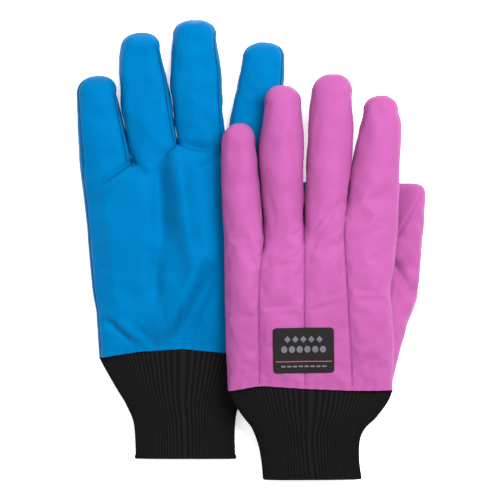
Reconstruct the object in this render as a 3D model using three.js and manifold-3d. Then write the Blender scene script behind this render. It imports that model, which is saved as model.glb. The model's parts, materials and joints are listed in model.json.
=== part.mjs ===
// A pair of insulated cryogenic gloves with rib-knit wrists, laid flat for packing or show.
// The right glove lies palm up on the table, and the left glove lies on it, back of the hand up.
// Each glove is a nylon shell of sewn panels over a padded and fleece-lined insert, with a knit cuff.
//
// Frame: millimetres, origin at the centre of the footprint on the table, +Y towards the fingertips,
// +X towards the thumbs, +Z up.

import * as THREE from "three";
import Module from "manifold-3d";

const wasm = await Module();
wasm.setup();

// ---------------------------------------------------------------- driving dimensions, millimetres

const GAP = 0.3; // clearance between neighbouring layers, panels and bodies
const SHELL = 0.8; // coated nylon with the moisture barrier behind it
const PADDING = 3.2; // insulation
const LINING = 0.8; // brushed fleece
const KNIT = 2.6; // both plies of the rib knit
const LABEL = 0.8; // folded woven label

const FINGER_SIDES = 8;
const HAND_SIDES = 12;
const FINGER_POWER = 3; // superellipse power of a finger's section: 2 is an ellipse, more is boxier
const HAND_POWER = 4;
const CUFF_POWER = 3;
const TIP_POWER = 2.5; // how square a fingertip is, seen from above
const TIP_SHARE = 0.95; // length of the rounded tip, in half-widths
const TIP_STEPS = [0.55, 0.93]; // where the rings of the rounded tip stand, as shares of its length
const SEAM_SHARE = 0.45; // height of a panel seam off mid-height, as a share of half the thickness
const STUB = 32; // how far a finger's root reaches back into the hand
const STUB_TAPER = 0.86; // width of that root at its inner end, as a share of the width at the knuckle
const FAR = 400; // reach of a cutting block, past the whole object
const PAST = 6; // how far a cutting core runs out of an open end

const INSULATION_INSET = SHELL + GAP;
const LINING_INSET = INSULATION_INSET + PADDING + GAP;
const CAVITY_INSET = LINING_INSET + LINING;

// Fingers run from the knuckle (root) to the fingertip; width is side to side at the knuckle and
// near the tip, and swell is what the middle is wider by.
const RIGHT = {
  side: "right",
  palmUp: true,
  colour: 0x0084c4,
  middle: 13.3, // mid-height of the fingers
  fingerHeight: 25.2,
  sideSeam: 15, // height of the seam between the palm panel and the strips of the back
  fingers: {
    pinky: { root: [-111, 70.5], tip: [-116.3, 132], width: [35, 30.5], swell: 0 },
    ring: { root: [-75.2, 82.5], tip: [-83.3, 164.3], width: [38, 33], swell: 0 },
    middle: { root: [-36.9, 82.5], tip: [-43.1, 174], width: [36.6, 36], swell: 2 },
    index: { root: [0.2, 77.3], tip: [9.8, 156.8], width: [36.6, 33], swell: 0 },
  },
  thumb: { root: [33, -12], tip: [39.5, 51], width: [28, 26], swell: 1, middle: 14, height: 24 },
  thumbBase: { centre: [6, -62, 12], width: 16, height: 14 },
  // Rows of the hand from wrist to knuckles: the two edges, the bow of the row, bottom and top.
  rows: [
    { left: [-114, -82], right: [13.5, -82], bow: 8, low: 1.2, high: 23 },
    { left: [-117.5, -50], right: [15.5, -50], bow: 6, low: 1.2, high: 26 },
    { left: [-121.5, -14], right: [16.5, -14], bow: 3, low: 0, high: 27 },
    { left: [-124.5, 26], right: [16.5, 26], bow: 3, low: 0, high: 27 },
    { left: [-127.2, 58], right: [17.4, 62], bow: 8, low: 0, high: 27 },
  ],
  // Seams between the four strips of the back: at the cuff, at the crotch, between the fingers.
  seams: [
    [[-84, -110], [-92.6, 66], [-98.5, 104]],
    [[-52, -110], [-55.6, 76], [-57.4, 104]],
    [[-20, -110], [-18.3, 74], [-17.6, 104]],
  ],
  cuff: [
    { left: [-114, -82.9], right: [13.5, -82.9], bow: 7.6, low: 1.2, high: 22.6 },
    { left: [-105, -97], right: [1, -97], bow: 5, low: 0.6, high: 20.5 },
    { left: [-94.5, -118], right: [-10, -118], bow: 1, low: 0.2, high: 17.5 },
    { left: [-88.4, -136], right: [-12.2, -136], bow: 0, low: 0, high: 16.2 },
    { left: [-88, -155.5], right: [-11, -155.5], bow: 0, low: 0, high: 16 },
  ],
  label: { centre: [-36, -63, 0], tilt: 0 },
};

const LEFT = {
  side: "left",
  palmUp: false,
  colour: 0xcd66b4,
  middle: 41,
  fingerHeight: 24,
  sideSeam: 37,
  fingers: {
    pinky: { root: [-6.8, 21.8], tip: [-9, 94.5], width: [27.6, 25], swell: 1 },
    ring: { root: [23.6, 27], tip: [23.3, 123], width: [28, 28], swell: 4 },
    middle: { root: [54.8, 38.3], tip: [60.8, 132], width: [29.2, 29.5], swell: 4 },
    index: { root: [90.2, 38.3], tip: [95.3, 115.5], width: [37.4, 30], swell: -1 },
  },
  thumb: { root: [108, -30], tip: [115, 50.6], width: [29, 29], swell: 2, middle: 14.2, height: 25 },
  thumbBase: { centre: [97, -88, 37], width: 14, height: 16 },
  rows: [
    { left: [-16.9, -104.4], right: [105.4, -103.4], bow: 3, low: 28.6, high: 48.6 },
    { left: [-18, -75], right: [106.3, -74], bow: 3, low: 28.5, high: 51.6 },
    { left: [-19.2, -40], right: [105.2, -40], bow: 2, low: 28.5, high: 54.5 },
    { left: [-20.2, -10], right: [106.4, -8], bow: 2, low: 28.5, high: 54.5 },
    { left: [-20.2, 12], right: [107.6, 29], bow: 2, low: 28.2, high: 54.4 },
  ],
  seams: [
    [[6, -130], [9, 14], [8.2, 60]],
    [[39.8, -130], [38.8, 22], [38.6, 60]],
    [[75, -130], [69.2, 30], [72.5, 60]],
  ],
  cuff: [
    { left: [-16.9, -105], right: [105.4, -104], bow: 3, low: 28.6, high: 48.6 },
    { left: [-11.3, -116], right: [99.8, -116], bow: 2, low: 24, high: 44 },
    { left: [-5.3, -125.6], right: [93, -125.6], bow: 1, low: 18, high: 37.5 },
    { left: [4, -143], right: [82, -143], bow: 0, low: 7, high: 25.5 },
    { left: [9.4, -172.5], right: [83.3, -172.5], bow: 0, low: 0.3, high: 15.5 },
  ],
  label: { centre: [38.5, -73.5, 52.05], tilt: 5.2 },
};
const LABEL_SIZE = [45, 33.5];
const LABEL_CORNER = 2;

// ---------------------------------------------------------------- shapes

const point = (x, y, z) => new THREE.Vector3(x, y, z);
const mix = THREE.MathUtils.lerp;

/** A three.js geometry with its shared corners merged, as a solid that can be joined and cut. */
function solidOf(positions, index) {
  return new wasm.Manifold(
    new wasm.Mesh({
      numProp: 3,
      vertProperties: new Float32Array(positions),
      triVerts: new Uint32Array(index),
    }),
  );
}

/** Unit offsets across and up for one corner of a superellipse whose flats touch -1 and +1. */
function corner(k, sides, power) {
  const bend = (v) => Math.sign(v) * Math.abs(v) ** (2 / power);
  const angle = (2 * Math.PI * (k + 0.5)) / sides;
  const reach = bend(Math.cos(Math.PI / sides));
  return [bend(Math.cos(angle)) / reach, bend(Math.sin(angle)) / reach];
}

/** A closed solid through rings of equal count, each closed by a fan at the two ends. */
function loft(rings) {
  const n = rings[0].length;
  const points = rings.flat();
  const index = [];
  for (let r = 0; r + 1 < rings.length; r++)
    for (let k = 0; k < n; k++) {
      const a = r * n + k;
      const b = r * n + ((k + 1) % n);
      index.push(a, b + n, b, a, a + n, b + n);
    }
  const middleOf = (ring) =>
    ring.reduce((sum, p) => sum.add(p), point(0, 0, 0)).divideScalar(n);
  const first = points.push(middleOf(rings[0])) - 1;
  const last = points.push(middleOf(rings.at(-1))) - 1;
  const lastStart = (rings.length - 1) * n;
  for (let k = 0; k < n; k++) {
    const next = (k + 1) % n;
    index.push(first, k, next, last, lastStart + next, lastStart + k);
  }
  return solidOf(
    points.flatMap((p) => p.toArray()),
    index,
  );
}

/** A rectangular cutting block between two corners. */
function block(low, high) {
  const size = [0, 1, 2].map((i) => high[i] - low[i]);
  const geometry = new THREE.BoxGeometry(...size).toNonIndexed();
  geometry.translate(...[0, 1, 2].map((i) => (high[i] + low[i]) / 2));
  return mergedSolid(geometry);
}

/** A flat outline pulled up from one height to another. */
function prism(outline, low, high, corners = 1) {
  const shape = outline instanceof THREE.Shape ? outline : new THREE.Shape(outline);
  const options = { depth: high - low, bevelEnabled: false, curveSegments: corners };
  return mergedSolid(new THREE.ExtrudeGeometry(shape, options).translate(0, 0, low));
}

/** Joins the equal corners of a triangle list by their rounded places. */
function mergedSolid(geometry) {
  const source = geometry.index ? geometry.toNonIndexed() : geometry;
  const place = source.getAttribute("position");
  const seen = new Map();
  const positions = [];
  const index = [];
  for (let i = 0; i < place.count; i++) {
    const p = [place.getX(i), place.getY(i), place.getZ(i)];
    const key = p.map((v) => Math.round(v * 1e4)).join();
    if (!seen.has(key)) seen.set(key, positions.push(...p) / 3 - 1);
    index.push(seen.get(key));
  }
  return solidOf(positions, index);
}

// ---------------------------------------------------------------- fingers, in their own frame

/** Half the width of a finger at a distance from its knuckle, before the tip rounds it off. */
function halfWidth(finger, along) {
  const t = along / finger.length;
  const root = finger.width[0] * mix(STUB_TAPER, 1, Math.min(1, 1 + along / STUB));
  const straight = along < 0 ? root : mix(finger.width[0], finger.width[1], t);
  const swell = along > 0 ? finger.swell * 4 * t * (1 - t) : 0;
  return (straight + swell) / 2;
}

/** One ring of a finger, scaled about its axis and taken in by an inset. */
function fingerRing(finger, along, inset, scale = 1) {
  const across = (halfWidth(finger, along) - inset) * scale;
  const up = (finger.height / 2 - inset) * scale;
  return Array.from({ length: FINGER_SIDES }, (_, k) => {
    const [x, z] = corner(k, FINGER_SIDES, FINGER_POWER);
    return point(across * x, along, up * z);
  });
}

/** A finger from start to its rounded tip, taken in by an inset on every side. */
function fingerSolid(finger, inset, start) {
  const cap = halfWidth(finger, finger.length) * TIP_SHARE;
  const straightEnd = finger.length - cap;
  const knuckles = start < GAP ? [start, GAP] : [GAP];
  const rings = knuckles.map((y) => fingerRing(finger, 0, inset).map((p) => p.setY(y)));
  rings.push(...[finger.length * 0.3, straightEnd].map((y) => fingerRing(finger, y, inset)));
  for (const step of TIP_STEPS) {
    const scale = (1 - step ** TIP_POWER) ** (1 / TIP_POWER);
    rings.push(fingerRing(finger, straightEnd + step * (cap - inset), inset, scale));
  }
  return loft(rings);
}

/** The matrix that carries a finger's own frame (knuckle at the origin, +Y to the tip) to the hand. */
function fingerFrame(finger) {
  return new THREE.Matrix4()
    .makeTranslation(finger.root[0], finger.root[1], finger.middle)
    .multiply(new THREE.Matrix4().makeRotationZ(finger.turn));
}

/** Fills in what follows from a finger's two ends. */
function measured(finger, glove) {
  const [dx, dy] = [finger.tip[0] - finger.root[0], finger.tip[1] - finger.root[1]];
  return {
    middle: glove.middle,
    height: glove.fingerHeight,
    ...finger,
    length: Math.hypot(dx, dy),
    turn: -Math.atan2(dx, dy),
  };
}

// ---------------------------------------------------------------- hand, in the frame of the pair

/** One ring of the hand or cuff: a wide superellipse whose row bows towards the fingers. */
function rowRing(row, inset, power, shift = 0) {
  const middle = [0, 1].map((i) => (row.left[i] + row.right[i]) / 2);
  const half = (row.right[0] - row.left[0]) / 2 - inset;
  const slope = (row.right[1] - row.left[1]) / (row.right[0] - row.left[0]);
  return Array.from({ length: HAND_SIDES }, (_, k) => {
    const [c, s] = corner(k, HAND_SIDES, power);
    const y = middle[1] + slope * half * c + row.bow * (1 - c * c) + shift;
    const z = mix(row.low, row.high, 0.5) + ((row.high - row.low) / 2 - inset) * s;
    return point(middle[0] + half * c, y, z);
  });
}

/** The root of a finger, from inside the hand to just short of its knuckle; a core runs on past it. */
function stubSolid(finger, inset, isCore) {
  const frame = fingerFrame(finger);
  const places = isCore ? [inset - STUB, -GAP, PAST] : [inset - STUB, -GAP];
  const ends = places.map((along) => fingerRing(finger, along, inset));
  return loft(ends.map((ring) => ring.map((p) => p.applyMatrix4(frame))));
}

/** The gusset that carries the thumb, from the wrist's corner to just short of the thumb's knuckle. */
function gussetSolid(glove, inset, isCore) {
  const frame = fingerFrame(glove.thumb);
  const base = glove.thumbBase;
  const [across, up] = [base.width / 2 - inset * 0.5, base.height / 2 - inset * 0.5];
  const start = Array.from({ length: FINGER_SIDES }, (_, k) => {
    const [x, z] = corner(k, FINGER_SIDES, FINGER_POWER);
    const [cos, sin] = [Math.cos(glove.thumb.turn), Math.sin(glove.thumb.turn)];
    return point(across * x * cos, across * x * sin + inset, up * z).add(point(...base.centre));
  });
  const places = isCore ? [-GAP, PAST] : [-GAP];
  const ends = places.map((along) => fingerRing(glove.thumb, along, inset));
  return loft([start, ...ends.map((ring) => ring.map((p) => p.applyMatrix4(frame)))]);
}

/** The whole hand with its finger roots, taken in by an inset; a core also runs out of its openings. */
function handSolid(glove, inset, isCore) {
  const rings = glove.rows.map((row) => rowRing(row, inset, HAND_POWER));
  const knuckles = glove.rows.at(-1);
  rings[rings.length - 1] = rowRing(knuckles, inset, HAND_POWER, -inset);
  if (isCore) rings.unshift(rowRing(glove.rows[0], inset, HAND_POWER, -PAST));
  const roots = Object.values(glove.fingers).map((finger) => stubSolid(finger, inset, isCore));
  roots.push(gussetSolid(glove, inset, isCore));
  return roots.reduce((all, root) => all.add(root), loft(rings));
}

/** The plan outline of one strip of the back, between two seams that may be off the hand's edge. */
function stripOutline(glove, lane) {
  const edge = (x) => [point(x, -FAR, 0), point(x, FAR, 0)];
  const seam = (j, shift) => glove.seams[j].map(([x, y]) => point(x + shift, y, 0));
  const left = lane === 0 ? edge(-FAR) : seam(lane - 1, GAP / 2);
  const right = lane === glove.seams.length ? edge(FAR) : seam(lane, -GAP / 2);
  return [...left, ...right.reverse()].map((p) => new THREE.Vector2(p.x, p.y));
}

// ---------------------------------------------------------------- materials and meshes

const plain = (color, roughness) =>
  new THREE.MeshStandardMaterial({ color, roughness, metalness: 0 });
const KNIT_BLACK = plain(0x19181b, 0.95);
const BATTING_WHITE = plain(0xe9e6de, 1);
const FLEECE_GREY = plain(0x8d9096, 1);
const LABEL_BLACK = plain(0x2b2a28, 0.8);

/** A named mesh of a solid. */
function meshOf(name, solid, material) {
  const made = solid.getMesh();
  const geometry = new THREE.BufferGeometry();
  geometry.setAttribute("position", new THREE.BufferAttribute(made.vertProperties, 3));
  geometry.setIndex(new THREE.BufferAttribute(made.triVerts, 1));
  geometry.computeVertexNormals();
  const mesh = new THREE.Mesh(geometry, material);
  mesh.name = name;
  return mesh;
}

/** The blocks that part a finger's shell into palm side, back and the two edge strips. */
function fingerBlocks(finger, palmUp) {
  const seam = (finger.height / 2) * SEAM_SHARE;
  const half = GAP / 2;
  const wide = [-FAR, FAR];
  const part = (x, z) => block([x[0], -FAR, z[0]], [x[1], FAR, z[1]]);
  const top = part(wide, [seam + half, FAR]);
  const bottom = part(wide, [-FAR, -seam - half]);
  const band = [-seam + half, seam - half];
  const overBack = palmUp ? [-seam - SHELL, seam - half] : [-seam + half, seam + SHELL];
  return {
    front: palmUp ? top : bottom,
    back: palmUp ? bottom : top,
    left: part([-FAR, -half], band),
    right: part([half, FAR], band),
    // Where a finger has no neighbour the back runs on over that side.
    outerLeft: part([-FAR, -half], overBack),
    outerRight: part([half, FAR], overBack),
  };
}

/** The meshes of one finger in a group that stands at its knuckle. */
function fingerGroup(glove, name, finger, nylon, neighbours) {
  const group = new THREE.Group();
  group.position.set(finger.root[0], finger.root[1], finger.middle);
  group.rotation.z = finger.turn;
  const label = `${glove.side}_${name}`;
  const shell = fingerSolid(finger, 0, GAP).subtract(fingerSolid(finger, SHELL, -PAST));
  const liner = fingerSolid(finger, INSULATION_INSET, GAP).subtract(
    fingerSolid(finger, CAVITY_INSET, -PAST),
  );
  const cut = fingerBlocks(finger, glove.palmUp);
  let back = cut.back;
  if (!neighbours.left) back = back.add(cut.outerLeft);
  if (!neighbours.right) back = back.add(cut.outerRight);
  group.add(meshOf(`${label}_front`, shell.intersect(cut.front), nylon));
  group.add(meshOf(`${label}_back`, shell.intersect(back), nylon));
  group.add(meshOf(`${label}_liner`, liner, BATTING_WHITE));
  for (const edge of ["left", "right"])
    if (neighbours[edge]) {
      const other = neighbours[edge];
      group.add(meshOf(`${label}_fourchette_to_${other}`, shell.intersect(cut[edge]), nylon));
    }
  return group;
}

/** The folded rib-knit tube. */
function cuffSolid(glove) {
  const outer = glove.cuff.map((row) => rowRing(row, 0, CUFF_POWER));
  const inner = glove.cuff.map((row) => rowRing(row, KNIT, CUFF_POWER));
  inner.unshift(rowRing(glove.cuff[0], KNIT, CUFF_POWER, PAST));
  inner.push(rowRing(glove.cuff.at(-1), KNIT, CUFF_POWER, -PAST));
  return loft(outer.reverse()).subtract(loft(inner.reverse()));
}

/** The woven label, a plate with round corners, tilted to lie along the hand. */
function labelMesh(glove) {
  const [x, y] = LABEL_SIZE.map((size) => size / 2 - LABEL_CORNER);
  const quarter = Math.PI / 2;
  const shape = new THREE.Shape();
  shape.absarc(x, y, LABEL_CORNER, 0, quarter);
  shape.absarc(-x, y, LABEL_CORNER, quarter, 2 * quarter);
  shape.absarc(-x, -y, LABEL_CORNER, 2 * quarter, 3 * quarter);
  shape.absarc(x, -y, LABEL_CORNER, 3 * quarter, 4 * quarter);
  const mesh = meshOf(`${glove.side}_label`, prism(shape, 0, LABEL, 3), LABEL_BLACK);
  mesh.position.set(...glove.label.centre);
  mesh.rotation.x = THREE.MathUtils.degToRad(glove.label.tilt);
  return mesh;
}

/** One whole glove. */
function gloveGroup(raw) {
  const glove = { ...raw, thumb: measured(raw.thumb, raw) };
  glove.fingers = Object.fromEntries(
    Object.entries(raw.fingers).map(([name, f]) => [name, measured(f, raw)]),
  );
  const nylon = plain(glove.colour, 0.5);
  const group = new THREE.Group();
  const add = (name, solid, material) => group.add(meshOf(`${glove.side}_${name}`, solid, material));

  const shell = handSolid(glove, 0, false).subtract(handSolid(glove, SHELL, true));
  const sides = [
    [-FAR, glove.sideSeam - GAP / 2],
    [glove.sideSeam + GAP / 2, FAR],
  ];
  const [backSide, palmSide] = glove.palmUp ? sides : [sides[1], sides[0]];
  const palmBlock = block([-FAR, -FAR, palmSide[0]], [FAR, FAR, palmSide[1]]);
  add("palm_panel", shell.intersect(palmBlock), nylon);

  const names = Object.keys(glove.fingers);
  names.forEach((name, lane) => {
    const strip = prism(stripOutline(glove, lane), ...backSide);
    add(`back_strip_${name}`, shell.intersect(strip), nylon);
  });

  const insulation = handSolid(glove, INSULATION_INSET, false);
  add("hand_insulation", insulation.subtract(handSolid(glove, LINING_INSET - GAP, true)), BATTING_WHITE);
  const lining = handSolid(glove, LINING_INSET, false);
  add("hand_lining", lining.subtract(handSolid(glove, CAVITY_INSET, true)), FLEECE_GREY);
  add("knit_cuff", cuffSolid(glove), KNIT_BLACK);
  group.add(labelMesh(glove));

  names.forEach((name, i) => {
    const neighbours = { left: names[i - 1], right: names[i + 1] };
    group.add(fingerGroup(glove, name, glove.fingers[name], nylon, neighbours));
  });
  group.add(fingerGroup(glove, "thumb", glove.thumb, nylon, {}));
  return group;
}

const pair = new THREE.Group();
pair.add(gloveGroup(RIGHT), gloveGroup(LEFT));
const bounds = new THREE.Box3().setFromObject(pair, true);
const centre = bounds.getCenter(new THREE.Vector3());
pair.position.set(-centre.x, -centre.y, -bounds.min.z);

export default pair;
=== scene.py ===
# %% [markdown]
# # A pair of cryogenic gloves
# Two padded gloves lie flat on a pale table, seen from straight above. The blue one is a right hand
# with its palm up. The pink one is a left hand with its back up, and it lies over half of the blue one.
# A glove like this is a coated nylon shell, sewn from panels, over batting and a fleece lining, with a
# rib-knit wrist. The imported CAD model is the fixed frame: it says where everything is and what moves.
# Here each soft part gets its real form and finish.

# %% Load the frame
import json

import bpy
import numpy as np
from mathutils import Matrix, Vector


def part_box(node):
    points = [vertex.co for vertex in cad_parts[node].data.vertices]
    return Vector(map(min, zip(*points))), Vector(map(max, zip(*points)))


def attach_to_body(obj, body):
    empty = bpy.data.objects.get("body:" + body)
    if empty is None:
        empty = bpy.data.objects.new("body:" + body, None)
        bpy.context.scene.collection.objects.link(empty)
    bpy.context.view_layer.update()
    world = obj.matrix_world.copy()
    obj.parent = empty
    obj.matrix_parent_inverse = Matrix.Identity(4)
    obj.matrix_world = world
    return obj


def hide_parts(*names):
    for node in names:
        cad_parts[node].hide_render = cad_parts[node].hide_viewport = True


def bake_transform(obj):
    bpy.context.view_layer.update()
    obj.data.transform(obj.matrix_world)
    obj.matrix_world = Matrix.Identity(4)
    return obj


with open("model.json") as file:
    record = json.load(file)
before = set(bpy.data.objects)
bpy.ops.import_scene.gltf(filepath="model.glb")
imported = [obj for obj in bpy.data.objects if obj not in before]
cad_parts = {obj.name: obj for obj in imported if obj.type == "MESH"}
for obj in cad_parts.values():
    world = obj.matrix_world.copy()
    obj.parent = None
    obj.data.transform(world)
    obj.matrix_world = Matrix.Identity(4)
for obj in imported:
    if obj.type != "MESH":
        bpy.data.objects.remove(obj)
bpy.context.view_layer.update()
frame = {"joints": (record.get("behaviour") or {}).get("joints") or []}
MM = 0.001

# %% [markdown]
# ## Camera, table and light
# A long lens looks straight down, so perspective hardly shows. The table is a pale matt board that glows
# a little, like a light table, so shadows on it stay faint. One large soft light stands on the thumbs' side
# and a pale room fills the shadows, which leaves the left flank of each padded strip a little darker.

# %% Camera, table and light
FRAME_WIDTH = 0.375  # metres of table across the view
LENS = 150
SENSOR = 36
HEIGHT_IN_FOCUS = 0.026  # the level at which FRAME_WIDTH is measured
TABLE_SIZE = 6

scene = bpy.context.scene
scene.view_settings.view_transform = "Standard"

camera = bpy.data.objects.new("camera", bpy.data.cameras.new("camera"))
scene.collection.objects.link(camera)
camera.data.lens = LENS
camera.data.sensor_width = SENSOR
camera.location = (0, 0, HEIGHT_IN_FOCUS + FRAME_WIDTH * LENS / SENSOR)
scene.camera = camera


def soft_light(name, place, aim, size, power):
    """A square lamp of the given size and power at place, turned so that its face looks at aim."""
    lamp = bpy.data.objects.new(name, bpy.data.lights.new(name, "AREA"))
    scene.collection.objects.link(lamp)
    lamp.data.size = size
    lamp.data.energy = power
    lamp.location = place
    toward = Vector(aim) - Vector(place)
    lamp.rotation_euler = toward.to_track_quat("-Z", "Y").to_euler()


soft_light("key light", (0.5, 0.5, 1.25), (0, 0, 0), 0.8, 34.5)
soft_light("fill light", (-0.5, 0.5, 1.5), (0, 0, 0), 1.2, 5)

world = bpy.data.worlds.new("pale room")
world.use_nodes = True
world.node_tree.nodes["Background"].inputs["Color"].default_value = (1, 1, 1, 1)
world.node_tree.nodes["Background"].inputs["Strength"].default_value = 0.86
scene.world = world

# %% [markdown]
# ## Finishes
# Each finish is a small node tree that starts from the real cloth. Coated nylon is a tight plain weave
# with a thin polyurethane coat: even colour, soft sheen. Rib knit is matt black yarn. Batting and fleece
# are matt fibre.


# %% Colours and a node helper
def linear(hex_colour):
    """sRGB hex to linear: v/12.92 below 0.04045, else ((v + 0.055) / 1.055) ** 2.4, with alpha 1."""
    parts = [int(hex_colour[i : i + 2], 16) / 255 for i in (1, 3, 5)]
    return [v / 12.92 if v <= 0.04045 else ((v + 0.055) / 1.055) ** 2.4 for v in parts] + [1]


def node(tree, kind, settings=None, **links):
    """Adds one node. settings are its properties; links are its inputs: sockets to join or values to set."""
    made = tree.nodes.new(kind)
    for key, value in (settings or {}).items():
        setattr(made, key, value)
    for key, value in links.items():
        socket = made.inputs[int(key[1:])] if key[0] == "i" and key[1:].isdigit() else made.inputs[key]
        if isinstance(value, bpy.types.NodeSocket):
            tree.links.new(value, socket)
        else:
            socket.default_value = value
    return made


def finish(name):
    """A new material with its node tree, shader and output ready."""
    made = bpy.data.materials.new(name)
    made.use_nodes = True
    tree = made.node_tree
    return made, tree, tree.nodes["Principled BSDF"]


# %% Coated nylon
# The real threads are far too fine to show, so they are drawn as coarse as they need to show.
WEAVE = 1.5 * MM


def coated_nylon(name, base, deep, gloss):
    """Plain weave: two sets of threads at right angles, each a wave of the given spacing on the cloth's
    own UV (metres along and across). Colour drifts slowly between base and deep."""
    made, tree, shader = finish(name)
    uv = node(tree, "ShaderNodeUVMap", {"uv_map": "cloth"})
    place = node(tree, "ShaderNodeTexCoord")
    waves = []
    for direction in ("X", "Y"):
        settings = {"wave_type": "BANDS", "bands_direction": direction, "wave_profile": "SIN"}
        wave = node(tree, "ShaderNodeTexWave", settings, Vector=uv.outputs["UV"])
        # A wave texture's bands repeat every pi / (10 * scale).
        wave.inputs["Scale"].default_value = np.pi / 10 / WEAVE
        waves.append(wave.outputs["Fac"])
    weave = node(tree, "ShaderNodeMath", {"operation": "MULTIPLY"}, i0=waves[0], i1=waves[1])
    drift = node(tree, "ShaderNodeTexNoise", Vector=place.outputs["Object"], Scale=28.0, Detail=3.0)
    thread = node(tree, "ShaderNodeMath", {"operation": "MULTIPLY_ADD"}, i0=weave.outputs[0])
    thread.inputs[1].default_value = 0.2
    tree.links.new(drift.outputs["Fac"], thread.inputs[2])
    colour = node(tree, "ShaderNodeMix", {"data_type": "RGBA"}, i0=thread.outputs[0])
    colour.inputs[6].default_value = linear(base)
    colour.inputs[7].default_value = linear(deep)
    slack = node(tree, "ShaderNodeTexNoise", Vector=place.outputs["Object"], Scale=38.0, Detail=1.5)
    broad = node(tree, "ShaderNodeBump", Height=slack.outputs["Fac"], Strength=0.6, Distance=4.5 * MM)
    crumple = node(tree, "ShaderNodeTexNoise", Vector=place.outputs["Object"], Scale=120.0, Detail=4.0)
    soft = node(tree, "ShaderNodeBump", Height=crumple.outputs["Fac"], Strength=0.5, Distance=1.0 * MM)
    woven = node(tree, "ShaderNodeBump", Height=weave.outputs[0], Strength=0.5, Distance=0.1 * MM)
    tree.links.new(broad.outputs["Normal"], soft.inputs["Normal"])
    tree.links.new(soft.outputs["Normal"], woven.inputs["Normal"])
    tree.links.new(colour.outputs[2], shader.inputs["Base Color"])
    tree.links.new(woven.outputs["Normal"], shader.inputs["Normal"])
    shader.inputs["Roughness"].default_value = 0.5
    shader.inputs["IOR"].default_value = 1.5
    shader.inputs["Specular IOR Level"].default_value = 0.15
    shader.inputs["Specular Tint"].default_value = linear(gloss)
    shader.inputs["Sheen Weight"].default_value = 0.05
    shader.inputs["Sheen Tint"].default_value = linear(gloss)
    shader.inputs["Sheen Roughness"].default_value = 0.4
    return made


BLUE_NYLON = coated_nylon("coated nylon, sky blue", "#005F92", "#005383", "#1090E0")
PINK_NYLON = coated_nylon("coated nylon, orchid pink", "#964B83", "#864075", "#E88CD0")
print("nylon finishes made")

# %% Knit, batting, fleece and label


def fibre(name, base, deep, scale, depth, roughness=0.95):
    """Loose fibre: colour and bump both follow one noise of the given grain size in metres."""
    made, tree, shader = finish(name)
    place = node(tree, "ShaderNodeTexCoord")
    grain = node(tree, "ShaderNodeTexNoise", Vector=place.outputs["Object"], Detail=5.0, Roughness=0.7)
    grain.inputs["Scale"].default_value = 1 / scale
    colour = node(tree, "ShaderNodeMix", {"data_type": "RGBA"}, i0=grain.outputs["Fac"])
    colour.inputs[6].default_value = linear(deep)
    colour.inputs[7].default_value = linear(base)
    bump = node(tree, "ShaderNodeBump", Height=grain.outputs["Fac"], Strength=0.6, Distance=depth)
    tree.links.new(colour.outputs[2], shader.inputs["Base Color"])
    tree.links.new(bump.outputs["Normal"], shader.inputs["Normal"])
    shader.inputs["Roughness"].default_value = roughness
    shader.inputs["Specular IOR Level"].default_value = 0.1
    shader.inputs["Sheen Weight"].default_value = 0.02
    return made


RIB = 2 * MM  # one rib of the knit on its UV
STITCH = 1.5 * MM  # one course of stitches; the real one is finer, but would not show


def rib_knit(name, ridge, groove):
    """Ribs across and courses along, both waves on the cloth's UV. Where a stitch stands up it takes the
    ridge colour, a painted highlight, and between ribs the darker groove colour, painted shade."""
    made, tree, shader = finish(name)
    uv = node(tree, "ShaderNodeUVMap", {"uv_map": "cloth"})
    settings = {"wave_type": "BANDS", "bands_direction": "X", "wave_profile": "SIN"}
    ribs = node(tree, "ShaderNodeTexWave", settings, Vector=uv.outputs["UV"], Scale=np.pi / 10 / RIB)
    settings = {"wave_type": "BANDS", "bands_direction": "Y", "wave_profile": "SIN"}
    rows = node(tree, "ShaderNodeTexWave", settings, Vector=uv.outputs["UV"], Scale=np.pi / 10 / STITCH)
    place = node(tree, "ShaderNodeTexCoord")
    fuzz = node(tree, "ShaderNodeTexNoise", Vector=place.outputs["Object"], Scale=700.0, Detail=4.0)
    stitch = node(tree, "ShaderNodeMath", {"operation": "MULTIPLY_ADD"}, i0=rows.outputs["Fac"])
    stitch.inputs[1].default_value = 0.45
    tree.links.new(ribs.outputs["Fac"], stitch.inputs[2])
    relief_shade_and_fuzz = node(tree, "ShaderNodeMath", {"operation": "MULTIPLY_ADD"}, i0=fuzz.outputs["Fac"])
    relief_shade_and_fuzz.inputs[1].default_value = 0.8
    tree.links.new(stitch.outputs[0], relief_shade_and_fuzz.inputs[2])
    spread = node(tree, "ShaderNodeMapRange", Value=relief_shade_and_fuzz.outputs[0])
    spread.inputs["From Min"].default_value = 0.35
    spread.inputs["From Max"].default_value = 1.5
    # Painted light: the lighter ridge colour is a painted highlight on the raised stitches, the darker
    # groove colour is painted shade between the ribs; the fuzz adds random tone.
    colour = node(tree, "ShaderNodeMix", {"data_type": "RGBA"}, i0=spread.outputs[0])
    colour.inputs[6].default_value = linear(ridge)
    colour.inputs[7].default_value = linear(groove)
    settings = {"invert": True}
    bump = node(tree, "ShaderNodeBump", settings, Height=relief_shade_and_fuzz.outputs[0], Strength=0.5, Distance=0.3 * MM)
    tree.links.new(colour.outputs[2], shader.inputs["Base Color"])
    tree.links.new(bump.outputs["Normal"], shader.inputs["Normal"])
    shader.inputs["Roughness"].default_value = 0.95
    shader.inputs["Specular IOR Level"].default_value = 0.1
    return made


# The first colour is the ridges' painted highlight, the second the grooves' painted shade.
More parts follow.
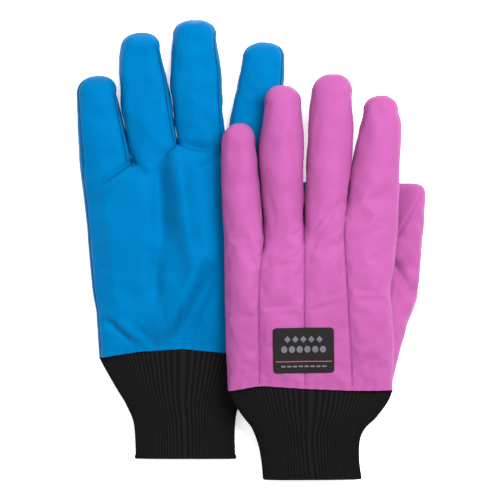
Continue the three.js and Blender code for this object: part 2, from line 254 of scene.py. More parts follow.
RIB_KNIT = rib_knit("acrylic rib knit, black", "#141214", "#060506")
BATTING = fibre("needled batting, off white", "#EDE9DF", "#CFCABD", 3 * MM, 0.8 * MM)
FLEECE = fibre("brushed fleece, grey", "#9EA1A8", "#7C7F87", 2 * MM, 0.7 * MM)
DAMASK = fibre("woven damask label, charcoal", "#1C191A", "#151314", 0.7 * MM, 0.1 * MM, 0.8)
LABEL_THREAD = fibre("label thread, light grey", "#605E63", "#4C4A50", 0.6 * MM, 0.1 * MM, 0.7)
LABEL_ACCENT = fibre("label thread, rose", "#8A4A6A", "#733A57", 0.6 * MM, 0.1 * MM, 0.7)
BLUE_THREAD = coated_nylon("bonded nylon thread, deep blue", "#00426E", "#003A62", "#1070B0")
PINK_THREAD = coated_nylon("bonded nylon thread, deep magenta", "#7E3A6C", "#71305F", "#B060A0")
BOARD = fibre("matt table board, white", "#FFFFFF", "#FBFBFB", 40 * MM, 0.01 * MM)
board_shader = BOARD.node_tree.nodes["Principled BSDF"]
board_shader.inputs["Emission Color"].default_value = (1, 1, 1, 1)
board_shader.inputs["Emission Strength"].default_value = 0.45

floor_mesh = bpy.data.meshes.new("table")
half = TABLE_SIZE / 2
floor_mesh.from_pydata(
    [(-half, -half, 0), (half, -half, 0), (half, half, 0), (-half, half, 0)], [], [(0, 1, 2, 3)]
)
floor_mesh.materials.append(BOARD)
table = bpy.data.objects.new("table", floor_mesh)
scene.collection.objects.link(table)

# %% [markdown]
# ## Lines of the glove
# A glove is drawn as its maker would draw it: five long lines run from the wrist to the crotches between
# the fingers and part the hand into four lanes, one for each finger. Past the crotches each finger has its
# own left and right line and a rounded tip. All are smooth curves through a few points, in millimetres.


# %% Smooth curves
FINE_STEPS = 40  # fine steps for each point that a smooth line is drawn through


def smooth_line(points, count):
    """A Catmull-Rom curve through the points, resampled to count points even in length. Between p1 and
    p2 it is (2 p1 + (p2 - p0) f + (2 p0 - 5 p1 + 4 p2 - p3) f^2 + (3 p1 - p0 - 3 p2 + p3) f^3) / 2."""
    p = np.array(points, float)
    p = np.vstack([2 * p[0] - p[1], p, 2 * p[-1] - p[-2]])
    u = np.linspace(0, len(points) - 1, FINE_STEPS * len(points))
    i = np.minimum(u.astype(int), len(points) - 2)
    f = (u - i)[:, None]
    a, b, c, d = p[i], p[i + 1], p[i + 2], p[i + 3]
    fine = (2 * b + (c - a) * f + (2 * a - 5 * b + 4 * c - d) * f**2 + (3 * b - a - 3 * c + d) * f**3) / 2
    length = np.concatenate([[0], np.cumsum(np.linalg.norm(np.diff(fine, axis=0), axis=1))])
    even = np.linspace(0, length[-1], count)
    return np.stack([np.interp(even, length, fine[:, k]) for k in range(p.shape[1])], axis=1)


def ease(x):
    """0 below 0, 1 above 1, and 3 x^2 - 2 x^3 between."""
    x = np.clip(x, 0, 1)
    return x * x * (3 - 2 * x)


# %% The two gloves' lines and levels
# lines: from wrist to crotch, left to right. fingers: left line past the crotch, right line, tip.
# levels: (share of the way from wrist to crotch, underside, top) of the hand. The powers say how square
# an arc is: between strips, in a finger, at an outer side. middle and half_height are a finger's level and
# half its height. A thumb's or cuff's heights are (share of the way, middle level, half height); a thumb's
# along is the way it points, and a cuff's bow is how far its edge at the hand arches.
GLOVES = {
    "right": {
        "palm_up": True,
        "nylon": BLUE_NYLON,
        "thread": BLUE_THREAD,
        "slot": "blue_nylon",
        "middle": 13.3,
        "half_height": 12.7,
        "lines": [
            [
                (-115.2, -81), (-117, -50), (-120.2, -26), (-122.4, -1),
                (-124.8, 26.5), (-128, 52), (-129.4, 64),
            ],
            [(-84, -76), (-88, 0), (-90.3, 66.5)],
            [(-52, -74), (-54.5, 0), (-55.6, 80.6)],
            [(-20, -77), (-19.5, 0), (-19.3, 75)],
            [(13.5, -82), (15.5, -50), (16.5, -14), (16.5, 26), (17.5, 66)],
        ],
        "fingers": {
            "pinky": (
                [(-131, 91), (-131.9, 118)],
                [(-95.3, 90), (-98.6, 104), (-101.8, 119)],
                (-116.3, 132),
            ),
            "ring": (
                [(-95.3, 90), (-98.6, 108), (-99.8, 140), (-98.8, 152)],
                [(-59.5, 105), (-62.3, 124), (-68.8, 152)],
                (-82.8, 164.7),
            ),
            "middle": (
                [(-58.9, 105), (-61.2, 124), (-60.8, 146), (-59.4, 161)],
                [(-20.8, 97.5), (-22.4, 134), (-26, 161)],
                (-42.2, 174.3),
            ),
            "index": (
                [(-15.9, 98), (-11.3, 122), (-6.7, 144)],
                [(20.5, 95), (24.9, 128), (25.3, 144)],
                (9.9, 157.3),
            ),
        },
        "tip_power": 2.25,
        "levels": [(0, 1.6, 22), (0.2, 0.9, 25.4), (0.5, 0.3, 27), (0.85, 0.4, 26.6), (1, 0.6, 26)],
        "palm_powers": (3.6, 3.4, 3.2),
        "back_powers": (3, 2.6, 2.8),
        "thumb": {
            "left": [(-4, -66), (8, -40), (19.2, -11), (24, 20), (26.4, 42)],
            "right": [(12, -66), (34, -40), (46.8, -13.4), (50.5, 20), (52.6, 42)],
            "tip": (39.6, 51.5),
            "heights": [(0, 12, 7), (0.3, 13, 10.5), (0.5, 13.8, 12), (1, 14, 12)],
            "along": (0.103, 0.995),
        },
        "cuff": {
            "left": [
                (-115, -80.5), (-108, -93.2), (-101.2, -105.8), (-94.6, -117),
                (-88.8, -131), (-87.9, -151), (-88.6, -156.4),
            ],
            "right": [
                (13.2, -81.5), (5, -93), (-3, -105), (-9.6, -116.5),
                (-12.4, -131), (-12.2, -152), (-11, -156.4),
            ],
            "bow": 8,
            "heights": [(0, 11.9, 10), (0.2, 10.5, 9.4), (0.55, 8.6, 8.3), (1, 8, 7.8)],
        },
    },
    "left": {
        "palm_up": False,
        "nylon": PINK_NYLON,
        "thread": PINK_THREAD,
        "slot": "pink_nylon",
        "middle": 41,
        "half_height": 12.2,
        "lines": [
            [(-17.3, -104.3), (-18.8, -70), (-19.6, -37), (-20.4, 9)],
            [(6, -100), (5.3, -36.8), (6.8, -10.5), (9.75, 9)],
            [(39.8, -102.2), (39, -55.5), (38.9, 17.3)],
            [(75, -103.6), (71.3, -36.8), (68.6, 10), (70.8, 38)],
            [
                (105.2, -103.5), (106.3, -72.8), (104.8, -48), (103.4, -29),
                (106, -12), (108.2, 6.8), (109.8, 38),
            ],
        ],
        "fingers": {
            "pinky": (
                [(-21.8, 38), (-22.6, 62), (-22.3, 78)],
                [(6.5, 45), (4.2, 70), (3.1, 80)],
                (-9.7, 94.8),
            ),
            "ring": (
                [(7.1, 45), (5.6, 73.5), (7.5, 92), (9.7, 108.5)],
                [(39, 44), (39, 83), (37.5, 108.5)],
                (23.3, 122.9),
            ),
            "middle": (
                [(39.5, 44), (41.3, 76), (42.6, 104), (44.3, 115.5)],
                [(74.4, 66), (75.8, 92), (75, 116)],
                (60.4, 131.3),
            ),
            "index": (
                [(74.9, 66), (79, 84), (81.3, 95), (83, 103.5)],
                [(110.6, 68), (111.6, 92), (109.3, 103.5)],
                (96.2, 115.2),
            ),
        },
        "tip_power": 2.1,
        "levels": [(0, 28.9, 48.4), (0.2, 28.7, 51.2), (0.5, 28.6, 54), (0.85, 28.6, 53.8), (1, 28.8, 53.2)],
        "palm_powers": (3.4, 3.2, 3),
        "back_powers": (3.3, 2.3, 2.1),
        "thumb": {
            "left": [(84, -96), (91, -60), (96.5, -28), (99.6, 8), (101.6, 38)],
            "right": [(105.3, -96), (117.2, -56), (125.1, -30), (129.4, 8), (131.6, 38)],
            "tip": (116.8, 51),
            "heights": [(0, 37, 8), (0.3, 25, 11), (0.5, 15.5, 12.2), (0.62, 14.2, 12.6), (1, 14.2, 12.6)],
            "along": (0.0865, 0.996),
        },
        "cuff": {
            "left": [
                (-16.8, -103.6), (-11.3, -116.3), (-5.3, -125.6), (0.8, -133.5),
                (5, -145.5), (7.5, -159), (9, -172.8),
            ],
            "right": [
                (105, -103.6), (101.3, -113.6), (93.8, -124.5), (85.6, -133.5),
                (82, -142.5), (81.8, -157.5), (83.6, -172.3),
            ],
            "bow": 3,
            "heights": [(0, 38.6, 9.6), (0.2, 33, 9.6), (0.42, 24, 9), (0.62, 15, 8.4), (1, 8.2, 7.5)],
        },
    },
}
FINGERS = ("pinky", "ring", "middle", "index")

# The CAD model is centred on its own footprint, so every line moves over by the same small step.
LABEL_CENTRE = (-36, -63)  # where the lower glove's label is drawn, in the same lines
low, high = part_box("right_label")
SHIFT = np.array([(low[k] + high[k]) / 2 / MM - LABEL_CENTRE[k] for k in (0, 1)])
print("lines move over by", SHIFT.round(2), "mm")

# %% [markdown]
# ## The shell as one skin
# The whole shell of a glove is first worked out as one skin of points, so that panels meet exactly and
# share their shading. Each lane has a palm arc and a back arc. In a finger the two arcs close a tube.
# In the hand the arcs of neighbouring lanes join: flat on the palm, in a deep seam on the back.

# %% Rows and arcs of a lane
HAND_ROWS = 85
FINGER_ROWS = 45
CAP_ROWS = 16
ARC = 33  # points across one arc
SEAM = 6  # the arc's point at which the palm panel is sewn, counted from either edge
WEB = 4  # millimetres over which the palm dips into a crotch
VALLEY = 15  # millimetres over which a back seam deepens into a crotch
SEAM_DEPTH = 2.6  # depth of the seams between the strips of the back


def between(stops, share):
    """Straight interpolation of each column of stops after the first, at the given shares."""
    table_of = np.array(stops, float)
    return [np.interp(share, table_of[:, 0], table_of[:, k]) for k in range(1, table_of.shape[1])]


def finger_rows(left, right, tip, power, straight=FINGER_ROWS - CAP_ROWS):
    """Left and right ends of a finger's rows and how full each row is. In the cap, at share q of its
    length, a row is (1 - q^power)^(1/power) of full width, and its middle runs straight to the tip."""
    a, b = smooth_line(left, straight), smooth_line(right, straight)
    q = np.sin(np.linspace(0, np.pi / 2, CAP_ROWS + 1))[1:, None]
    fullness = np.clip(1 - q**power, 0, 1) ** (1 / power)
    middle, half_width = (a[-1] + b[-1]) / 2, (b[-1] - a[-1]) / 2
    line = middle + q * (np.array(tip) - middle)
    a, b = np.vstack([a, line - fullness * half_width]), np.vstack([b, line + fullness * half_width])
    return a, b, np.concatenate([np.ones(straight), fullness[:, 0]])


def arc(left, right, crown, edge_left, edge_right, power_left, power_right):
    """One arc over each row. Across it runs u = -1 to 1, with u = -cos(a) |cos(a)|^(2/power - 1); its
    height is edge + (crown - edge) * sin(a)^(2/power). Edge and power belong to the nearer end. The arc is
    worked out finely and then sampled at even lengths along itself."""
    a = np.linspace(0, np.pi, 8 * ARC)[None]
    power = np.where(a < np.pi / 2, power_left[:, None], power_right[:, None])
    u = -np.sign(np.cos(a)) * np.abs(np.cos(a)) ** (2 / power)
    rise = np.sin(a) ** (2 / power)
    rise[:, [0, -1]] = 0
    plan = (left + right)[:, None] / 2 + (right - left)[:, None] / 2 * u[..., None]
    edge = np.where(u < 0, edge_left[:, None], edge_right[:, None])
    fine = np.concatenate([plan, (edge + (crown[:, None] - edge) * rise)[..., None]], axis=2)
    run = np.cumsum(np.linalg.norm(np.diff(fine, axis=1, prepend=fine[:, :1]), axis=2), axis=1)
    even = np.linspace(0, 1, ARC)
    pick = [[np.interp(even * r[-1], r, row[:, k]) for k in range(3)] for r, row in zip(run, fine)]
    return np.array(pick).transpose(0, 2, 1)


# %% Build the skin
def build_skin(glove):
    """All lanes' palm and back arcs, wrist to fingertip, as two arrays (lane, row, column, xyz)."""
    lines = [smooth_line(line, HAND_ROWS) for line in glove["lines"]]
    share = np.linspace(0, 1, HAND_ROWS)
    under, top = between(glove["levels"], share)
    palm_level, back_level = (top, under) if glove["palm_up"] else (under, top)
    middle = glove["middle"] + (top + under) / 2 - ((top + under) / 2)[-1]
    sign = 1 if glove["palm_up"] else -1
    palm, back = [], []
    for lane, name in enumerate(FINGERS):
        ends = lines[lane], lines[lane + 1]
        edges = {"palm": [], "back": []}
        for side, line in enumerate(ends):
            outer = (lane, side) in ((0, 0), (3, 1))
            left_to_go = np.linalg.norm(np.diff(line, axis=0), axis=1).sum() * (1 - share)
            dip = ease(1 - left_to_go / WEB) if not outer else 1
            sink = ease(1 - left_to_go / VALLEY) if not outer else 1
            shallow = back_level + sign * SEAM_DEPTH * ease(share * 8)
            edges["palm"].append(palm_level + (middle - palm_level) * dip)
            edges["back"].append(shallow + (middle - shallow) * sink)
        left, right, tip = glove["fingers"][name]
        a, b, full = finger_rows(
            [ends[0][-1], *left], [ends[1][-1], *right], tip, glove["tip_power"]
        )
        rows_a, rows_b = np.vstack([ends[0], a[1:]]), np.vstack([ends[1], b[1:]])
        reach = glove["half_height"] * full[1:]
        flat = np.full(len(reach), float(glove["middle"]))
        for arcs, level, s, kind in ((palm, palm_level, sign, "palm"), (back, back_level, -sign, "back")):
            crown = np.concatenate([level, glove["middle"] + s * reach])
            edge_a, edge_b = (np.concatenate([e, flat]) for e in edges[kind])
            in_hand, in_finger, outside = glove[kind + "_powers"]
            into = ease((np.arange(len(rows_a)) - HAND_ROWS + 12) / 24)
            power_a = (outside if lane == 0 else in_hand) * (1 - into) + in_finger * into
            power_b = (outside if lane == 3 else in_hand) * (1 - into) + in_finger * into
            arcs.append(arc(rows_a, rows_b, crown, edge_a, edge_b, power_a, power_b))
    palm, back = np.array(palm), np.array(back)
    for grid in (palm, back):
        grid[..., :2] += SHIFT
    return palm, back


SAME_PLACE = 200  # two points of a skin that fall in one step of 1/200 mm are one point


def merged(steps):
    """For points counted in steps, the first point at each place and, for every point, its place."""
    found = np.unique(steps.round().astype(int), axis=0, return_index=True, return_inverse=True)
    return found[1], found[2]


class Skin:
    """The points of a glove's shell, each stored once, with index grids for the arcs and outward normals."""

    def __init__(self, palm, back, palm_up):
        shape = palm.shape[:3]
        points = np.concatenate([palm.reshape(-1, 3), back.reshape(-1, 3)])
        first, place = merged(points * SAME_PLACE)
        self.points = points[first]
        place = place.reshape(2, *shape)
        self.palm, self.back = place
        self.palm_up = palm_up
        upper, lower = (self.palm, self.back) if palm_up else (self.back, self.palm)
        self.faces = np.concatenate([quads(upper), quads(lower)[:, ::-1]])
        self.turn()

    def turn(self):
        """Normals: the sum of the cross products of each face's diagonals, made one long."""
        p = self.points
        f = self.faces
        n = np.cross(p[f[:, 2]] - p[f[:, 0]], p[f[:, 3]] - p[f[:, 1]])
        total = np.zeros_like(p)
        for k in range(4):
            np.add.at(total, f[:, k], n)
        self.normals = total / np.maximum(np.linalg.norm(total, axis=1, keepdims=True), 1e-12)


def quads(grid):
    """The faces of index grids (lane, row, column), turning left to right then along the rows."""
    g = grid if grid.ndim == 3 else grid[None]
    corners = g[:, :-1, :-1], g[:, :-1, 1:], g[:, 1:, 1:], g[:, 1:, :-1]
    return np.stack(corners, axis=-1).reshape(-1, 4)


skins = {side: Skin(*build_skin(g), g["palm_up"]) for side, g in GLOVES.items()}
for side, skin in skins.items():
    print(side, "skin:", len(skin.points), "points, spans", (np.ptp(skin.points, axis=0)).round(1), "mm")

# %% [markdown]
# ## Folds, seams and puckers
# Padded nylon never lies smooth. Broad folds run from the crotches over the palm, short creases sit where
# the thumb bends the cloth, and every seam draws in the cloth beside it. Each fold is a straight ridge or
# furrow with soft ends; the seams are sharp furrows; the rest is a slow waviness.

# %% Folds
# Each fold: start x, y, end x, y, half width, height; a furrow has a height below 0.
FOLDS = {
    "right": [
        (-56, 72, -43, -20, 8.5, 8.6),
        (-70, 66, -67, -12, 6.5, -5.6),
        (-28, -17, -57, -72, 6.5, -5.4),
        (-62, -30, -70, -76, 9, 3.0),
        (-38, -8, -63, -60, 7, 5.0),
        (-108, -53, -84, -76, 3, -3.0),
        (-84, -60, -70, -75, 3, -2.0),
        (-98, -55, -76, -72, 3.6, 2.0),
        (-90.3, 67, -120, 45, 1.8, -3.2),
        (-91, 62, -116, 39, 4, 2.0),
        (-90.3, 67, -74, 54, 1.8, -2.6),
        (-55.3, 80.5, -69, 70, 1.8, -2.8),
        (-55.3, 80.5, -30, 75, 2, -3.2),
        (-50, 75, -28, 67, 4, 1.6),
        (-19.5, 74, -36, 62, 1.8, -1.0),
        (-73, -4, -70, -44, 6, -4.4),
        (-112, 20, -96, -18, 10, 0.9),
        (-100, -10, -92, -46, 9, -0.9),
    ],
    "left": [
        (108, 5, 96, -10, 3, -1.0),
        (104, -20, 92, -34, 3, -0.9),
        (86, 30, 92, -8, 6, -0.7),
        (54, 10, 56, -30, 6, -0.6),
        (22, -6, 24, -44, 5, -0.6),
        (-19, 8, -17, -110, 13, -1.5),
        (92, -60, 84, -96, 4, -0.8),
        (50, -84, 56, -100, 2.6, -0.8),
        (-6, -80, -10, -100, 2.6, -0.8),
        (24, -84, 20, -98, 2.6, -0.7),
    ],
}


def fold_height(points, folds):
    """Sum over the folds of height * exp(-(d / half width)^2) * ends, where d is the distance in plan to
    the fold's line. ends = ease(1.2 - 1.6 |f - 0.4|), with f the share of the way along the fold, held at
    0 and 1 beyond it: about 0.6 at the start, 1 near the middle and 0.15 at the end."""
    total = np.zeros(len(points))
    for x0, y0, x1, y1, width, height in folds:
        start, run = np.array([x0, y0]) + SHIFT, np.array([x1 - x0, y1 - y0], float)
        along = (points[:, :2] - start) @ run / (run @ run)
        nearest = start + np.clip(along, 0, 1)[:, None] * run
        d = np.linalg.norm(points[:, :2] - nearest, axis=1)
        ends = ease(1.2 - 1.6 * np.abs(np.clip(along, 0, 1) - 0.4))
        total += height * np.exp(-((d / width) ** 2)) * ends
    return total


def waviness(points, size, phase):
    """Slow waves: the mean of five sines of lengths size to 2.4 size, each turned by the golden angle."""
    total = np.zeros(len(points))
    for k in range(5):
        angle, length = 2.4 * k + phase, size * (1 + 0.35 * k)
        run = points[:, 0] * np.cos(angle) + points[:, 1] * np.sin(angle) + 0.6 * points[:, 2]
        total += np.sin(2 * np.pi * run / length + 1.7 * k * phase + 0.5 * np.sin(run / length * 3.1))
    return total / 5


# %% Let the padding fill the shell
SIMULATED_FRAMES = 14
CLOTH_GROWTH = 0.014  # the shell is cut this much larger than the seams that hold it
MOST_MOVED = 3.0  # millimetres


def billow(name, points, faces, held):
    """Runs cloth with pressure on a copy of a shell and returns how far each point moved, at most
    MOST_MOVED. held is 0 to 1 for each point: 1 stays where it is, as on a seam."""
    mesh = bpy.data.meshes.new(name)
    mesh.from_pydata((points * MM).tolist(), [], faces.tolist())
    shell = bpy.data.objects.new(name, mesh)
    scene.collection.objects.link(shell)
    group = shell.vertex_groups.new(name="held")
    for weight in np.unique(held):
        group.add(np.flatnonzero(held == weight).tolist(), float(weight), "REPLACE")
    cloth = shell.modifiers.new("cloth", "CLOTH")
    settings = cloth.settings
    settings.quality = 5
    settings.mass = 0.08
    settings.tension_stiffness = settings.compression_stiffness = 12
    settings.shear_stiffness = 6
    settings.bending_stiffness = 0.3
    settings.shrink_min = -CLOTH_GROWTH
    settings.vertex_group_mass = "held"
    settings.pin_stiffness = 0.6
    settings.use_pressure = True
    settings.uniform_pressure_force = 8
    settings.effector_weights.gravity = 0
    cloth.point_cache.frame_start = 1
    cloth.point_cache.frame_end = SIMULATED_FRAMES
    for frame_number in range(1, SIMULATED_FRAMES + 1):
        scene.frame_set(frame_number)
    filled = shell.evaluated_get(bpy.context.evaluated_depsgraph_get()).to_mesh()
    moved = np.empty(len(filled.vertices) * 3)
    filled.vertices.foreach_get("co", moved)
    moved = moved.reshape(-1, 3) / MM - points
    bpy.data.objects.remove(shell)
    scene.frame_set(1)
    far = np.linalg.norm(moved, axis=1, keepdims=True)
    print(name, "moved", far.mean().round(2), "mm on average,", far.max().round(2), "at most")
    return moved * np.minimum(1, MOST_MOVED / np.maximum(far, 1e-9))


def every_second(skin, held):
    """Billows every second row and column of a skin, and spreads the movement evenly in between: the
    points left out move by the mean of their neighbours. Then, twice over, each point takes the mean of
    its own movement and that of the points it is joined to."""
    grids = np.stack([skin.palm, skin.back])
    coarse = grids[:, :, ::2, ::2]
    used, place = np.unique(coarse, return_inverse=True)
    place = place.reshape(coarse.shape)
    upper, lower = (place[0], place[1]) if skin.palm_up else (place[1], place[0])
    faces = np.concatenate([quads(upper), quads(lower)[:, ::-1]])
    faces = faces[np.all(faces != np.roll(faces, 1, axis=1), axis=1)]
    moved = billow("shell", skin.points[used], faces, held[used])
    spread = np.zeros((*grids.shape, 3))
    spread[:, :, ::2, ::2] = moved[place]
    spread[:, :, 1::2, ::2] = (spread[:, :, :-2:2, ::2] + spread[:, :, 2::2, ::2]) / 2
    spread[:, :, :, 1::2] = (spread[:, :, :, :-2:2] + spread[:, :, :, 2::2]) / 2
    total = gather(grids.ravel(), spread.reshape(-1, 3), len(skin.points))
    ends = np.concatenate([skin.faces.ravel(), np.roll(skin.faces, 1, axis=1).ravel()])
    other = np.concatenate([np.roll(skin.faces, 1, axis=1).ravel(), skin.faces.ravel()])
    for _ in range(2):
        total = (total + gather(ends, total[other], len(total))) / 2
    return total


def gather(places, values, count):
    """The mean of the values that share a place, for each of count places."""
    total, number = np.zeros((count, 3)), np.zeros(count)
    np.add.at(total, places, values)
    np.add.at(number, places, 1)
    return total / np.maximum(number, 1)[:, None]


MOST_SUNK = 0.7  # millimetres that the padding lets the shell sink
SIDE_FREEDOM = 0.3  # the share of its movement that the shell keeps on the glove's outer sides
FREE_WRIST = 3  # the rows at the wrist that the sewing holds
CROTCH_HOLD = 0.3  # how firmly the side of a finger is held
for side, skin in skins.items():
    held = np.zeros(len(skin.points))
    for lane in range(4):
        held[skin.back[lane, :HAND_ROWS, [0, -1]]] = 1
        held[skin.palm[lane, HAND_ROWS - 1 :, [SEAM, ARC - 1 - SEAM]]] = 1
        held[skin.back[lane, HAND_ROWS - 1 :, [0, -1]]] = CROTCH_HOLD
        held[skin.palm[lane, :FREE_WRIST]] = held[skin.back[lane, :FREE_WRIST]] = 1
    for edge in (skin.palm[0, :, SEAM], skin.palm[3, :, ARC - 1 - SEAM]):
        held[edge] = 1
    moved = every_second(skin, held)
    calm = np.ones(len(skin.points))
    for grid in (skin.palm, skin.back):
        calm[grid[0, :, :SEAM]] = calm[grid[3, :, -SEAM:]] = SIDE_FREEDOM
    moved *= calm[:, None]
    out = (moved * skin.normals).sum(axis=1, keepdims=True)
    limited = np.where(out < 0, -MOST_SUNK * np.tanh(-out / MOST_SUNK), out)
    skin.points += moved + skin.normals * (limited - out)
    skin.turn()

# %% Apply the folds to the skins
PRESSED = (27.8, 28.1)  # the lower glove's highest and the upper glove's lowest level where they touch
REST = 0.15  # the cloth's lowest level above the table
LABEL_ROOM = 1.4  # the lowest level of the cloth above a label that lies on the table
FOLDED_ABOVE = 2.5  # a fold has its full height where the normal rises more than 1 in this
HEM_ROWS = 10  # the rows at the wrist over which the folds start
SHELL_WAVE = 0.35  # millimetres
SEAM_FURROW = ((0, 0.8), (1, 0.3), (-1, 0.3))  # columns from the seam, and depth
HIDDEN_SEAM = 0.3  # how deep a seam is on the turned-under side of a finger, as a share
COVERED_FROM, COVERED_OVER = -30, 10  # where the upper glove starts to press, and over how far
PUCKER_ROWS = 14
PUCKER_LENGTH = 8.5  # millimetres from one pucker of the hem to the next
PUCKER_HEIGHT = 0.405
for side, skin in skins.items():
    up = ease(skin.normals[:, 2] * FOLDED_ABOVE)
    for lane in range(4):
        for grid in (skin.palm, skin.back):
            up[grid[lane, :HEM_ROWS]] *= ease(np.arange(HEM_ROWS) / (HEM_ROWS - 1))[:, None]
    skin.points += skin.normals * (fold_height(skin.points, FOLDS[side]) * up)[:, None]
    skin.points += skin.normals * (waviness(skin.points, 30, 1.3) * SHELL_WAVE)[:, None]
    furrow = np.zeros(len(skin.points))
    # A seam fades out over the rounded tip of its finger.
    fade = ease((skin.palm.shape[1] - 1 - np.arange(skin.palm.shape[1])) / CAP_ROWS)
    for lane in range(4):
        for step, depth in SEAM_FURROW:
            for c in (SEAM + step, ARC - 1 - SEAM - step):
                outer = (lane == 0 and c < ARC // 2) or (lane == 3 and c > ARC // 2)
                first = 0 if outer else HAND_ROWS
                shown = 1 if outer or c > ARC // 2 else HIDDEN_SEAM
                furrow[skin.palm[lane, first:-3, c]] = -depth * shown * fade[first:-3]
    skin.points += skin.normals * furrow[:, None]
    # Where the gloves lie on each other or on the table, the cloth is pressed flat.
    z = skin.points[:, 2]
    if side == "right":
        covered = ease((skin.points[:, 0] - COVERED_FROM) / COVERED_OVER)
        low, high = (np.array(v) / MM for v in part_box("right_label"))
        outside = np.maximum(low - skin.points, skin.points - high)[:, :2].max(axis=1)
        rest = REST + (LABEL_ROOM - REST) * ease(1.5 - outside / 4)
        skin.points[:, 2] = np.maximum(z + covered * np.minimum(0, PRESSED[0] - z), rest)
    else:
        skin.points[:, 2] = np.maximum(z, PRESSED[1])
    # Puckers: short waves along the hem at the wrist, dying away over a few millimetres.
    for grid in (skin.palm, skin.back):
        for lane in range(4):
            ids = grid[lane, :PUCKER_ROWS]
            fading = np.exp(-np.arange(PUCKER_ROWS) / 4)[:, None]
            run = skin.points[ids][..., 0]
            wave = np.sin(2 * np.pi * run / PUCKER_LENGTH + 1.1 * np.sin(run / 7)) * PUCKER_HEIGHT * fading
            skin.points[ids.ravel()] += skin.normals[ids.ravel()] * wave.reshape(-1, 1)
    skin.turn()


# %% [markdown]
# ## Cutting the skin into panels
# A panel is a patch of the skin given the cloth's thickness: the outer face, an inner face set in along
# the normals, and a rim. Its shading normals come from the whole skin, so the palm runs into the fingers
# without a break, as the real panel does.

# %% Panel maker
CLOTH = 0.8


def link(name, mesh, finish_used):
    """Puts a finished mesh into the scene under its name, with its finish and material slot."""
    mesh.materials.append(finish_used)
    made = bpy.data.objects.new(name, mesh)
    scene.collection.objects.link(made)
    return made


def sheet_mesh(name, outer, normals, thickness, closed=False):
    """A sheet (rows, columns, xyz in millimetres) with its other face thickness below, joined by a rim.
    closed joins the last column to the first. The cloth UV is metres along the rows and columns."""
    rows, columns = outer.shape[:2]
    inner = outer - normals * thickness
    points = np.concatenate([outer.reshape(-1, 3), inner.reshape(-1, 3)]) * MM
    grid = np.arange(rows * columns).reshape(rows, columns)
    if closed:
        grid = np.concatenate([grid, grid[:, :1]], axis=1)
    face_up, face_down = quads(grid), quads(grid)[:, ::-1] + rows * columns
    border = [(grid[0, 1:], grid[0, :-1]), (grid[-1, :-1], grid[-1, 1:])]
    if not closed:
        border += [(grid[:-1, 0], grid[1:, 0]), (grid[1:, -1], grid[:-1, -1])]
    rim = [np.stack([a, b, b + rows * columns, a + rows * columns], axis=1) for a, b in border]
    faces = np.concatenate([face_up, face_down, *rim])
    away = np.concatenate([normals.reshape(-1, 3), -normals.reshape(-1, 3)])
    across = np.concatenate([[0], np.linalg.norm(np.diff(outer, axis=1), axis=2).mean(0).cumsum()])
    along = np.concatenate([[0], np.linalg.norm(np.diff(outer, axis=0), axis=2).mean(1).cumsum()])
    uv = np.stack(np.broadcast_arrays(across[None, :], along[:, None]), axis=2).reshape(-1, 2) * MM
    return solid_mesh(name, points, faces, np.tile(uv, (2, 1)), away)


SAME_CORNER = 1000  # corners of a mesh in one step of 1/1000 mm are one corner


def solid_mesh(name, points, faces, uv, away):
    """A mesh from whole arrays: points, four-cornered faces, a UV and a shading normal for each point.
    Corners that fall on one place, as at a fingertip, are merged first."""
    first, place = merged(points / MM * SAME_CORNER)
    points, uv, away, faces = points[first], uv[first], away[first], place.reshape(-1)[faces]
    corners = [list(dict.fromkeys(face)) for face in faces.tolist()]
    mesh = bpy.data.meshes.new(name)
    mesh.from_pydata(points.tolist(), [], [c for c in corners if len(c) > 2])
    mesh.validate()
    mesh.polygons.foreach_set("use_smooth", [True] * len(mesh.polygons))
    layer = mesh.uv_layers.new(name="cloth")
    of_loop = np.empty(len(mesh.loops), int)
    mesh.loops.foreach_get("vertex_index", of_loop)
    layer.data.foreach_set("uv", uv[of_loop].ravel())
    mesh.normals_split_custom_set_from_vertices(away.tolist())
    return mesh


def panel(skin, name, ids, glove, upward):
    """Cuts the patch of the skin with these point numbers as one panel. The patch's columns run left to
    right; a patch on the underside is turned over so that its faces point out."""
    ids = ids if upward else ids[:, ::-1]
    mesh = sheet_mesh(name, skin.points[ids], skin.normals[ids], CLOTH)
    return link(name, mesh, glove["nylon"])


# %% [markdown]
# ## What rides on what
# Each finger turns on a hinge at its knuckle in the frame. Nothing here bends a panel: a piece of a jointed
# finger keeps its place, with its transform baked in. Pieces of the hand, and of the lower glove's index
# finger, which has no joint, ride on the hand.

# %% Joining pieces to bodies
joint_of = {j["child"]: j for j in frame["joints"]}


def attach(piece, side, finger, nodes):
    """Rides on the hand; on a finger with a joint it instead keeps its place, with its transform baked in.
    It takes the place of the CAD nodes, which may be none."""
    body = f"{side}_{finger}"
    if body not in joint_of or finger == "hand":
        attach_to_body(piece, f"{side}_hand")
    else:
        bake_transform(piece)
    if nodes:
        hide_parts(*nodes)
    return piece


